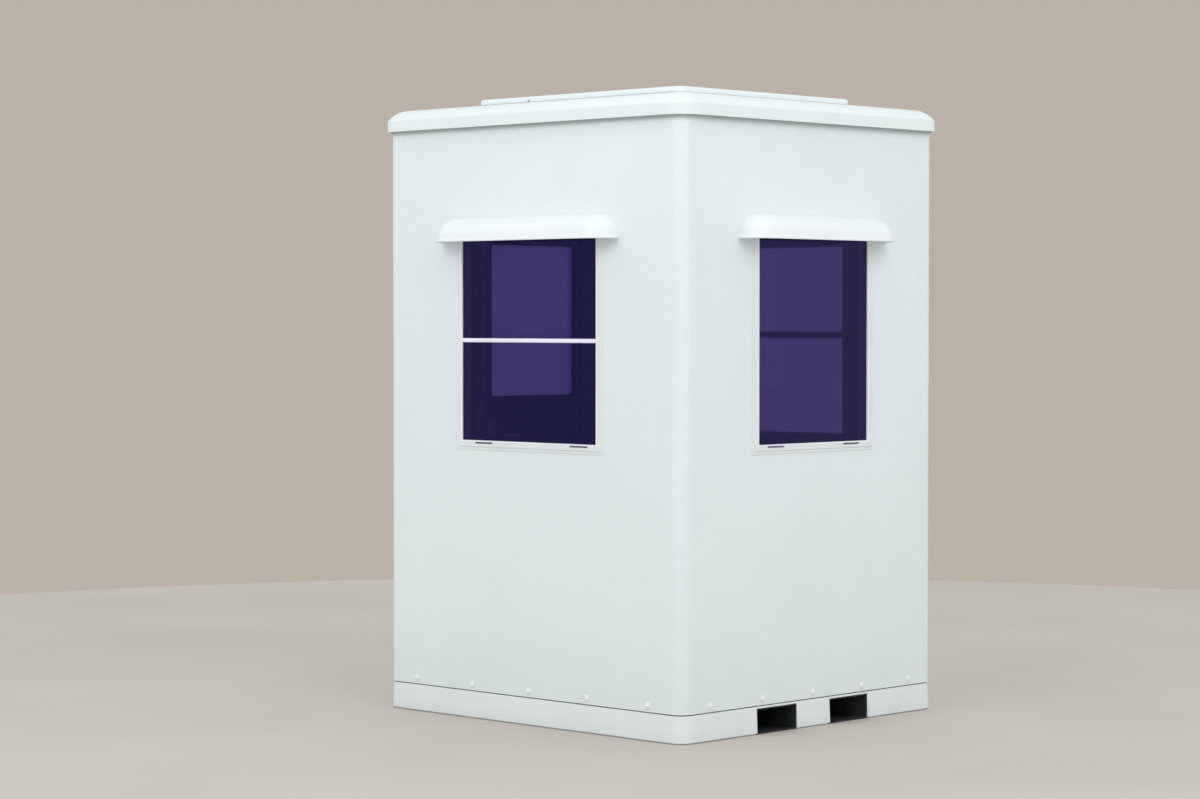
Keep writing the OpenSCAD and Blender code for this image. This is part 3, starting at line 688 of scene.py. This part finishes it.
def buildWindow(name, node, side, barred):
    low, high = nodeBox(node)
    length = (high.x - low.x) if side in ("front", "back") else (high.y - low.y)
    lap = (sash["flange"] + sash["face"]) * mm
    w, h = length - 2 * lap, high.z - low.z - 2 * lap
    mid = (low.z + high.z) / 2
    face, proud, thin = sash["face"] * mm, sash["proud"] * mm, sash["flangeProud"] * mm
    bead = sash["bead"] * mm
    glassY, glassBack = sash["glassFace"] * mm, (sash["glassFace"] + sash["glassThick"]) * mm
    deep = wallThick
    ring = [(lap, 0.0), (lap, -thin + 0.0006), (lap - 0.0006, -thin), (face + 0.0010, -thin),
            (face, -thin - 0.0008), (face, -proud + 0.0012), (face - 0.0012, -proud),
            (bead + 0.0006, -proud), (bead, -proud + 0.0006), (bead, glassY), (bead, glassBack),
            (0.0, glassBack), (0.0, deep + thin - 0.0008), (0.0008, deep + thin),
            (sash["trim"] * mm - 0.001, deep + thin), (sash["trim"] * mm, deep + thin - 0.001),
            (sash["trim"] * mm, deep), (sash["liner"] * mm, deep), (sash["liner"] * mm, 0.0)]
    draft = newDraft()
    rectRing(draft, w, h, mid, ring)
    placePiece(name + "Frame", draft, frameFinish, "shell", [node], side, sharp=30)

    beadOut = sash["beadProud"] * mm
    beadRing = [(bead, glassY), (bead, -beadOut + 0.0018), (bead - 0.0007, -beadOut + 0.0005),
                (bead - 0.0020, -beadOut), (0.0028, -beadOut + 0.0006), (0.0012, -beadOut + 0.0022),
                (0.0, -beadOut + 0.0050), (0.0, glassY)]
    draft = newDraft()
    rectRing(draft, w, h, mid, beadRing)
    if barred:
        half = w / 2
        foot = nodeBox(node.replace("frame", "glass_lower"))[1].z - sash["glassInBar"] * mm
        head = nodeBox(node.replace("frame", "glass_upper"))[0].z + sash["glassInBar"] * mm
        out, back = sash["barProud"] * mm, sash["barBack"] * mm
        section = [(-out + 0.0030, foot), (-out + 0.0008, foot + 0.0016), (-out, foot + 0.0045),
                   (-out, head - 0.0045), (-out + 0.0008, head - 0.0016), (-out + 0.0030, head),
                   (back, head), (back, foot)]
        addRings(draft, [[(x, y, z) for y, z in section] for x in (-half, half)])
    placePiece(name + "Bead", draft, beadFinish, "shell", [], side, sharp=40)

    slotHalf, slotHigh = weep["length"] / 2 * mm, weep["height"] / 2 * mm
    z = mid - h / 2 - weep["belowGlass"] * mm + slotHigh
    draft = newDraft()
    for place in weep[side]:
        x = place * mm
        outline = arc(x + slotHalf - slotHigh, z, slotHigh, -90, 90, 8)
        outline += arc(x - slotHalf + slotHigh, z, slotHigh, 90, 270, 8)
        addPrism(draft, outline, proud - 0.0005, proud + weep["proud"] * mm, 0.0005, 2,
                 lambda px, pz, out: (px, -out, pz))
    placePiece(name + "Weeps", draft, weepFinish, "shell", [], side, sharp=40)

    wide, lift = sash["seal"] * mm, sash["sealProud"] * mm
    draft = newDraft()
    sealRing = [(0.0004, glassY), (0.0004, glassY - lift), (-0.0004, glassY - lift - 0.0003),
                (-wide * 0.6, glassY - lift), (-wide, glassY)]
    rectRing(draft, w, h, mid, sealRing)
    placePiece(name + "Seal", draft, rubberFinish, "shell", [], side, sharp=40)


buildWindow("frontWindow", "front_window_frame", "front", True)
buildWindow("backWindow", "back_window_frame", "back", True)
buildWindow("rightWindow", "right_window_frame", "right", False)
print("windows built")

# doorway
doorway = {"jamb": 25, "lap": 18, "proud": 2.5, "gap": 5, "stopFace": 37, "stop": 20, "edge": 0.8}
sill = {"rise": 18, "edge": 1.2, "ribs": 4, "ribHigh": 1.0, "ribWide": 3.0}
leaf = {"proud": 8, "thick": 40, "edge": 1.8, "corner": 3, "steps": 6}
rubber = {"wide": 8, "proud": 3, "radius": 14, "steps": 6, "bed": 4}


def openArch(draft, w, top, foot, profile):
    # two jambs and a head, mitred: profile is distance out from the opening, then depth
    path = [(1, foot, 0), (1, top, 1), (-1, top, 1), (-1, foot, 0)]
    addRings(draft, [[(s * (w / 2 + a), y, z + up * a) for a, y in profile] for s, z, up in path])


def buildDoorway():
    gap = doorway["gap"] * mm
    clearW = doorHigh.y - doorLow.y + 2 * gap
    head = doorHigh.z + gap
    jamb, lap, thin = doorway["jamb"] * mm, doorway["lap"] * mm, doorway["proud"] * mm
    stopFace, stop, edge = doorway["stopFace"] * mm, doorway["stop"] * mm, doorway["edge"] * mm
    reach = jamb + lap
    draft = newDraft()
    openArch(draft, clearW, head, wallFoot, [
        (reach, 0.0), (reach, -thin + edge), (reach - edge, -thin), (edge, -thin), (0.0, -thin + edge),
        (0.0, stopFace), (-stop + edge, stopFace), (-stop, stopFace + edge), (-stop, wallThick),
        (jamb, wallThick), (jamb, 0.0)])
    openArch(draft, clearW, head, floorTop, [
        (reach, wallThick), (-stop, wallThick), (-stop, wallThick + thin - edge),
        (-stop + edge, wallThick + thin), (reach - edge, wallThick + thin),
        (reach, wallThick + thin - edge)])
    placePiece("doorFrame", draft, frameFinish, "shell", ["door_frame"], "left", doorShift, 30)

    soft, tread = sill["edge"] * mm, wallFoot + sill["rise"] * mm
    top = nodeBox("door_sill")[1].z
    outline = [(0.0, wallFoot), (0.0, tread - soft), (soft * 0.3, tread - soft * 0.3), (soft, tread)]
    for i in range(sill["ribs"]):
        y = stopFace * (i + 0.7) / sill["ribs"]
        wide, high = sill["ribWide"] * mm, sill["ribHigh"] * mm
        outline += [(y - wide / 2, tread), (y - wide / 4, tread + high), (y + wide / 4, tread + high),
                    (y + wide / 2, tread)]
    outline += [(stopFace, tread), (stopFace, top - soft), (stopFace + soft, top),
                (wallThick - soft, top), (wallThick, top - soft), (wallThick, wallFoot)]
    draft = newDraft()
    half, inner = clearW / 2, clearW / 2 - stop
    addRings(draft, [[(x if y < stopFace + 1e-6 else x * inner / half, y, z) for y, z in outline]
                     for x in (-half, half)])
    placePiece("doorSill", draft, brightFinish, "shell", ["door_sill"], "left", doorShift, 30)


def paneLoop(grow, radius, steps):
    low, high = nodeBox("door_glass")
    edge = rubber["wide"] / 4 * mm                # the pane runs this far into its rubber
    return roundedLoop(high.y - low.y - 2 * edge + 2 * grow, high.z - low.z - 2 * edge + 2 * grow,
                       radius + grow, steps)


def buildLeaf():
    low, high = nodeBox("door_glass")
    paneMid = (low.z + high.z) / 2
    leafMid = (doorLow.z + doorHigh.z) / 2
    face, back = -leaf["proud"] * mm, (leaf["thick"] - leaf["proud"]) * mm
    edge, steps = leaf["edge"] * mm, leaf["steps"]
    outer = roundedLoop(doorHigh.y - doorLow.y, doorHigh.z - doorLow.z, leaf["corner"] * mm, steps)
    rebate = paneLoop(rubber["wide"] / 2 * mm, rubber["radius"] * mm, steps)
    hole = paneLoop(0.0, rubber["radius"] * mm, steps)
    bed = low.x + halfWidth - rubber["bed"] * mm  # back of the rebate, in from the wall face
    rings = []
    for inset, y in ((edge, back), (0.3 * edge, back - 0.3 * edge), (0.0, back - edge),
                     (0.0, face + edge), (0.3 * edge, face + 0.3 * edge), (edge, face)):
        rings.append([(x - nx * inset, y, leafMid + z - nz * inset) for x, z, nx, nz in outer])
    for grow, y in ((edge, face), (0.3 * edge, face + 0.3 * edge), (0.0, face + edge), (0.0, bed)):
        rings.append([(x + nx * grow, y, paneMid + z + nz * grow) for x, z, nx, nz in hole])
    for y in (bed, back):
        rings.append([(x, y, paneMid + z) for x, z, nx, nz in rebate])
    draft = newDraft()
    addRings(draft, rings, closeAlong=True)
    placePiece("doorLeaf", draft, leafFinish, "door", ["door_leaf"], "left", doorShift, 30)

    wide, lift = rubber["wide"] * mm, rubber["proud"] * mm
    section = [(0.0, bed + 0.001), (0.0006, bed + 0.0003), (wide / 2, bed + 0.0001), (wide / 2, back),
               (wide, back), (wide, back + lift * 0.2), (wide * 0.7, back + lift * 0.9),
               (wide * 0.3, back + lift), (0.0006, back + lift * 0.6), (0.0, back - 0.001)]
    loop = paneLoop(0.0, rubber["radius"] * mm, rubber["steps"])
    draft = newDraft()
    rings = [[(x + nx * a, y, paneMid + z + nz * a) for a, y in section] for x, z, nx, nz in loop]
    addRings(draft, rings, closeAlong=True)
    placePiece("doorGasket", draft, rubberFinish, "door", ["door_gasket"], "left", doorShift, 40)


buildDoorway()
buildLeaf()

# door furniture
handle = {"plateWide": 38, "plateHigh": 190, "plateThick": 5, "plateCorner": 8, "above": 0.32,
          "out": 42, "length": 120, "radius": 9, "tip": 7.5, "bend": 14, "collar": 14,
          "collarThick": 5, "fromEdge": 50, "lockDrop": 0.45, "lock": 10, "screw": 4.2, "screwIn": 12,
          "steps": 20}
hinge = {"barrel": 7, "length": 42, "washer": 1, "plate": 32, "plateThick": 3, "framePlane": 17.5,
         "leafPlane": 12, "screw": 3.6}


def addTube(draft, path, radii, steps):
    # round tube along a path that stays level
    rings = []
    for i, here in enumerate(path):
        ahead = (Vector(path[min(i + 1, len(path) - 1)]) - Vector(path[max(i - 1, 0)])).normalized()
        side = Vector((0, 0, 1)).cross(ahead)
        rings.append([Vector(here) + (side * math.cos(t) + Vector((0, 0, 1)) * math.sin(t)) * radii[i]
                      for t in [2 * math.pi * k / steps for k in range(steps)]])
    addRings(draft, rings)


def screwHead(draft, x, y, z, r, toward):
    addLathe(draft, [(0.0, -0.0005), (r, -0.0005), (r, 0.0004), (r * 0.9, 0.0010), (r * 0.5, 0.0014),
                     (r * 0.45, 0.0008), (0.0, 0.0008)], (x, y, z), (0, toward, 0), 18)


def buildHandle(name, node, face, toward):
    # toward: -1 stands out of the booth, 1 into the room
    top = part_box(node)[1][2]
    x0 = (doorHigh.y - doorLow.y) / 2 - handle["fromEdge"] * mm
    plateW, plateH, thick = (handle[k] * mm for k in ("plateWide", "plateHigh", "plateThick"))
    z0, foot = top - handle["above"] * plateH, top - plateH
    out, r, tip, bend = (handle[k] * mm for k in ("out", "radius", "tip", "bend"))
    draft = newDraft()
    plate = [spot[:2] for spot in roundedLoop(plateW, plateH, handle["plateCorner"] * mm, 6)]
    addPrism(draft, plate, 0.0, thick, 0.0012, 3,
             lambda px, pz, depth: (x0 + px, face + toward * depth, (top + foot) / 2 + pz))
    collar, collarThick = handle["collar"] * mm, handle["collarThick"] * mm
    addLathe(draft, [(0.0, thick - 0.001), (collar, thick - 0.001), (collar, thick + collarThick - 0.0015),
                     (collar - 0.0015, thick + collarThick), (0.0, thick + collarThick)],
             (x0, face, z0), (0, toward, 0), 28)
    path = [(x0, face + toward * thick, z0), (x0, face + toward * (out - bend), z0)]
    path += [(x0 - bend * (1 - math.cos(math.radians(15 * i))),
              face + toward * (out - bend + bend * math.sin(math.radians(15 * i))), z0)
             for i in range(1, 7)]
    run = handle["length"] * mm
    path += [(x0 - bend - (run - bend) * k / 6, face + toward * out, z0) for k in range(1, 7)]
    radii = [r * 0.85, r * 0.85] + [r * 0.9] * 6 + [r - (r - tip) * k / 6 for k in range(1, 7)]
    for turn in (25, 50, 70, 84):
        a = math.radians(turn)
        path.append((x0 - run - tip * math.sin(a), face + toward * out, z0))
        radii.append(tip * math.cos(a))
    addTube(draft, path, radii, handle["steps"])
    lock, lockZ = handle["lock"] * mm, z0 - handle["lockDrop"] * plateH
    addLathe(draft, [(0.0, thick - 0.001), (lock, thick - 0.001), (lock, thick + 0.0032),
                     (lock - 0.0008, thick + 0.004), (lock * 0.62, thick + 0.004),
                     (lock * 0.58, thick + 0.0034), (0.0, thick + 0.0034)],
             (x0, face, lockZ), (0, toward, 0), 28)
    for z in (top - handle["screwIn"] * mm, foot + handle["screwIn"] * mm):
        screwHead(draft, x0, face + toward * thick, z, handle["screw"] * mm, toward)
    placePiece(name, draft, brightFinish, "door", [node], "left", doorShift, 40)


def hingeHalf(draft, x, y, foot, leg, plateReach, plane):
    # barrel, the leg behind it and its plate, from foot up
    r, length = hinge["barrel"] * mm, hinge["length"] * mm
    thick = hinge["plateThick"] * mm
    addLathe(draft, [(0.0, 0.0), (r - 0.001, 0.0), (r, 0.001), (r, length - 0.001),
                     (r - 0.001, length), (0.0, length)], (x, y, foot), (0, 0, 1), 28)
    near, far = leg
    outline = [(x + near, y), (x + far, y), (x + far, y + plane), (x + plateReach, y + plane),
               (x + plateReach, y + plane - thick), (x + near, y + plane - thick)]
    area = sum(outline[i - 1][0] * outline[i][1] - outline[i][0] * outline[i - 1][1]
               for i in range(len(outline)))
    addPrism(draft, outline if area > 0 else outline[::-1], foot, foot + length, 0.0, 2)
    middle = x + (near + plateReach) / 2
    for z in (foot + length * 0.25, foot + length * 0.75):
        screwHead(draft, middle, y + plane - thick, z, hinge["screw"] * mm, -1)


def buildHinges():
    low, high = nodeBox("door_hinges_fixed")
    x = -((doorHigh.y - doorLow.y) + doorway["gap"] * mm) / 2
    y = -(leaf["proud"] + doorway["gap"] + hinge["barrel"]) * mm
    length, r, thick = hinge["length"] * mm, hinge["barrel"] * mm, hinge["plateThick"] * mm
    feet = [low.z, (doorLow.z + doorHigh.z) / 2 - length, high.z - 2 * length + 0.004]
    fixed, moving = newDraft(), newDraft()
    for foot in feet:
        hingeHalf(fixed, x, y, foot, (-r + thick, -r), -r - hinge["plate"] * mm,
                  hinge["framePlane"] * mm)
        addLathe(fixed, [(0.0, -0.003), (r * 0.5, -0.0026), (r * 0.8, -0.0012), (r * 0.8, 0.001),
                         (0.0, 0.001)], (x, y, foot), (0, 0, 1), 24)
        rise = foot + length + hinge["washer"] * mm
        hingeHalf(moving, x, y, rise, (0.0, thick), r + hinge["plate"] * mm, hinge["leafPlane"] * mm)
        addLathe(moving, [(0.0, length - 0.001), (r * 0.8, length - 0.001), (r * 0.8, length + 0.0012),
                          (r * 0.5, length + 0.0026), (0.0, length + 0.003)],
                 (x, y, rise), (0, 0, 1), 24)
    placePiece("fixedHinges", fixed, brightFinish, "shell", ["door_hinges_fixed"], "left",
               doorShift, 40)
    placePiece("leafHinges", moving, brightFinish, "door", ["door_hinges_moving"], "left",
               doorShift, 40)


buildHandle("outsideHandle", "door_handle_outside", -leaf["proud"] * mm, -1)
buildHandle("insideHandle", "door_handle_inside", (leaf["thick"] - leaf["proud"]) * mm, 1)
buildHinges()
print("doorway, leaf and its furniture built")

# studio
studio = {"floorColour": (201, 193, 186), "wallColour": (188, 177, 167), "floorRadius": 6.0,
          "floorSteps": 96, "fillStrength": 0.965, "fillColour": (250, 253, 255)}


def buildFloor():
    steps, r = studio["floorSteps"], studio["floorRadius"]
    rings = [[(r * k * math.cos(2 * math.pi * i / steps), r * k * math.sin(2 * math.pi * i / steps), 0.0)
              for i in range(steps)] for k in (1.0, 0.5)]
    mesh = bpy.data.meshes.new("studioFloor")
    faces = [[i, (i + 1) % steps, steps + (i + 1) % steps, steps + i] for i in range(steps)]
    faces.append([steps + i for i in range(steps)])
    mesh.from_pydata(rings[0] + rings[1], [], faces)
    obj = bpy.data.objects.new("studioFloor", mesh)
    bpy.context.scene.collection.objects.link(obj)
    finish, tree, shader, coords = startFinish("studioFloorPaint")
    cloud = rangeOf(tree, noiseOf(tree, coords, 0.7, 4.0, 0.5), 0.3, 0.7, 0.0, 1.0, True)
    worn = [part - 5 for part in studio["floorColour"]]
    tree.links.new(blendColours(tree, cloud, tone(*studio["floorColour"]), tone(*worn)),
                   shader.inputs["Base Color"])
    shader.inputs["Roughness"].default_value = 0.85
    shader.inputs["Specular IOR Level"].default_value = 0.2
    mesh.materials.append(finish)


def buildWorld():
    world = bpy.data.worlds.new("studioWorld")
    bpy.context.scene.world = world
    world.use_nodes = True
    tree = world.node_tree
    tree.nodes.clear()
    path = tree.nodes.new("ShaderNodeLightPath")
    fill = tree.nodes.new("ShaderNodeBackground")
    fill.inputs["Color"].default_value = tone(*studio["fillColour"])
    fill.inputs["Strength"].default_value = studio["fillStrength"]
    backdrop = tree.nodes.new("ShaderNodeBackground")
    backdrop.inputs["Color"].default_value = tone(*studio["wallColour"])
    backdrop.inputs["Strength"].default_value = 1.0
    seen = maths(tree, "MAXIMUM", path.outputs["Is Camera Ray"], path.outputs["Is Glossy Ray"])
    seen = maths(tree, "MAXIMUM", seen, path.outputs["Is Transmission Ray"])
    mix = tree.nodes.new("ShaderNodeMixShader")
    tree.links.new(seen, mix.inputs[0])
    tree.links.new(fill.outputs[0], mix.inputs[1])
    tree.links.new(backdrop.outputs[0], mix.inputs[2])
    out = tree.nodes.new("ShaderNodeOutputWorld")
    tree.links.new(mix.outputs[0], out.inputs["Surface"])


lamps = {
    "keyLamp": {"place": (0.4, -7.0, 5.2), "aim": (0, 0, 1.0), "size": 2.4, "power": 75},
    "sideLamp": {"place": (6.2, -2.0, 6.0), "aim": (0, 0, 1.2), "size": 5.0, "power": 99},
}


def buildLamps():
    for name, lamp in lamps.items():
        light = bpy.data.lights.new(name, "AREA")
        light.shape = "DISK"
        light.size = lamp["size"]
        light.energy = lamp["power"]
        obj = bpy.data.objects.new(name, light)
        obj.location = lamp["place"]
        obj.rotation_euler = (Vector(lamp["aim"]) - obj.location).to_track_quat("-Z", "Y").to_euler()
        bpy.context.scene.collection.objects.link(obj)


viewpoint = {"place": (8.0106, -8.6089, 1.5193), "azimuth": 44.0895, "pitch": -1.516, "roll": 0.009,
             "lens": 90.228, "sensor": 36}


def buildCamera():
    turn, pitch, roll = (math.radians(viewpoint[k]) for k in ("azimuth", "pitch", "roll"))
    level = Vector((-math.sin(turn), math.cos(turn), 0))
    across = Vector((math.cos(turn), math.sin(turn), 0))
    up = Vector((0, 0, 1))
    ahead = level * math.cos(pitch) + up * math.sin(pitch)
    above = -level * math.sin(pitch) + up * math.cos(pitch)
    right = across * math.cos(roll) + above * math.sin(roll)
    head = -across * math.sin(roll) + above * math.cos(roll)
    data = bpy.data.cameras.new("boothCamera")
    data.lens = viewpoint["lens"]
    data.sensor_width = viewpoint["sensor"]
    data.clip_end = 200
    obj = bpy.data.objects.new("boothCamera", data)
    aim = Matrix((right, head, -ahead)).transposed().to_4x4()
    obj.matrix_world = Matrix.Translation(viewpoint["place"]) @ aim
    bpy.context.scene.collection.objects.link(obj)
    bpy.context.scene.camera = obj


buildFloor()
buildWorld()
buildLamps()
buildCamera()
bpy.context.scene.view_settings.view_transform = "Standard"
print("studio ready")

bpy.context.view_layer.update()
